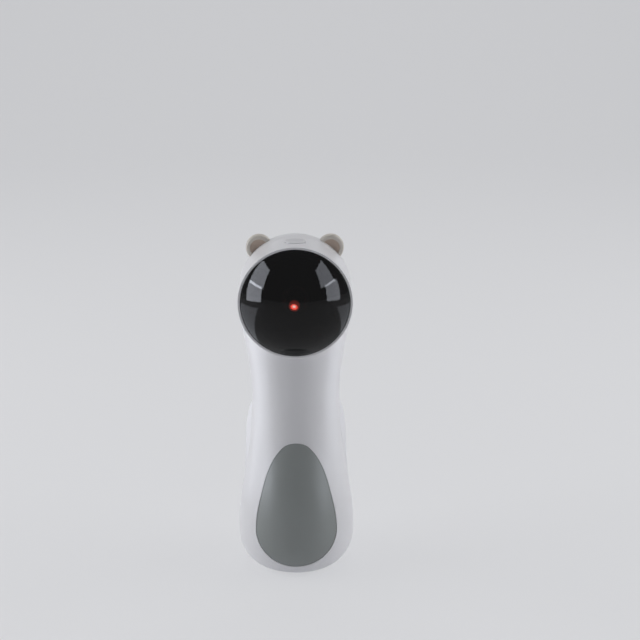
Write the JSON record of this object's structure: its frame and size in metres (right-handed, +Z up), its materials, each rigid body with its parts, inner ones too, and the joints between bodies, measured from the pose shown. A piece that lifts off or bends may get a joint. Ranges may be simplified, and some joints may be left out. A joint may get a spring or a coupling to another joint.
{
  "type": "rotating laser pointer",
  "caption": "Waisted pet toy tower with round ears and a dark domed face, behind which a geared rotor swings a slanted laser; crown button and rear battery door.",
  "frame": {"origin": "middle of the base pad's underside, on the tower's upright axis", "axes": "+Z up along the tower, -Y out of the domed face, +X to the viewer's right when facing the dome"},
  "size_m": [0.0716, 0.0802, 0.2081],
  "materials": {
    "shell_white": "satin",
    "dome_dark": "polished",
    "belly_grey": "satin",
    "ear_stone": "satin",
    "ear_taupe": "matt",
    "button_white": "satin",
    "pad_rubber": "matt",
    "switch_black": "satin",
    "plunger_tan": "satin",
    "board_green": "satin",
    "screw_steel": "satin",
    "chassis_grey": "satin",
    "axle_steel": "polished",
    "gear_ivory": "satin",
    "ring_black": "satin",
    "pinion_brass": "satin",
    "motor_steel": "satin",
    "cap_ivory": "satin",
    "contact_steel": "polished",
    "barrel_brass": "satin",
    "lens_red": "polished",
    "chip_black": "matt",
    "can_aluminium": "satin",
    "cell_sleeve": "satin"
  },
  "bodies": {
    "tower": {"front_shell": "shell_white", "rear_shell": "shell_white", "face_dome": "dome_dark", "belly_panel": "belly_grey", "left_ear": "ear_stone", "right_ear": "ear_stone", "left_ear_pad": "ear_taupe", "right_ear_pad": "ear_taupe", "tact_switch": "switch_black", "switch_board": "board_green", "switch_screws": "screw_steel", "chassis": "chassis_grey", "chassis_screws": "screw_steel", "gear_plate": "chassis_grey", "plate_screws": "screw_steel", "gear_axles": "axle_steel", "motor_can": "motor_steel", "motor_end_cap": "cap_ivory", "motor_terminals": "contact_steel", "main_board": "board_green", "controller_chip": "chip_black", "board_capacitor": "can_aluminium", "board_plug": "cap_ivory", "board_screws": "screw_steel", "battery_cells": "cell_sleeve", "contact_leaves": "contact_steel", "contact_plates": "contact_steel", "case_screws": "screw_steel", "base_pad": "pad_rubber"},
    "rotor": {"rotor_gear": "gear_ivory", "rotor_ring": "ring_black"},
    "laser": {"laser_holder": "ring_black", "laser_barrel": "barrel_brass", "laser_lens": "lens_red", "holder_ring": "ring_black", "driver_board": "board_green"},
    "second_pair": {"second_gear": "gear_ivory"},
    "first_pair": {"first_gear": "gear_ivory"},
    "motor_rotor": {"motor_pinion": "pinion_brass", "motor_shaft": "axle_steel"},
    "button": {"crown_button": "button_white", "switch_plunger": "plunger_tan"},
    "door": {"battery_door": "shell_white"}
  },
  "joints": [
    {"name": "rotor_spin", "type": "hinge", "parent": "tower", "child": "rotor", "pos_m": [0, -0.0145, 0.1745], "axis": [0, -1, 0], "continuous": true},
    {"name": "laser_turn", "type": "hinge", "parent": "rotor", "child": "laser", "pos_m": [0, -0.025, 0.1745], "axis": [-0.117, -0.9397, -0.3214], "continuous": true},
    {"name": "second_pair_spin", "type": "hinge", "parent": "tower", "child": "second_pair", "pos_m": [0.01655, -0.012, 0.16062], "axis": [0, -1, 0], "continuous": true},
    {"name": "first_pair_spin", "type": "hinge", "parent": "tower", "child": "first_pair", "pos_m": [0.0059, -0.009, 0.15316], "axis": [0, -1, 0], "continuous": true},
    {"name": "motor_spin", "type": "hinge", "parent": "tower", "child": "motor_rotor", "pos_m": [-0.00521, -0.006, 0.15614], "axis": [0, -1, 0], "continuous": true},
    {"name": "button_press", "type": "slide", "parent": "tower", "child": "button", "axis": [0, 0, -1], "range_m": [0, 0.0007], "stiffness_N_per_m": 1500},
    {"name": "door_swing", "type": "hinge", "parent": "tower", "child": "door", "pos_m": [0, 0.03474, 0.014], "axis": [-1, 0, 0], "range_deg": [0, 30]}
  ],
  "couplings": [
    {"joint": "laser_turn", "follows": "rotor_spin", "ratio": -1},
    {"joint": "second_pair_spin", "follows": "rotor_spin", "ratio": -5},
    {"joint": "first_pair_spin", "follows": "rotor_spin", "ratio": 16.667},
    {"joint": "motor_spin", "follows": "rotor_spin", "ratio": -60}
  ]
}
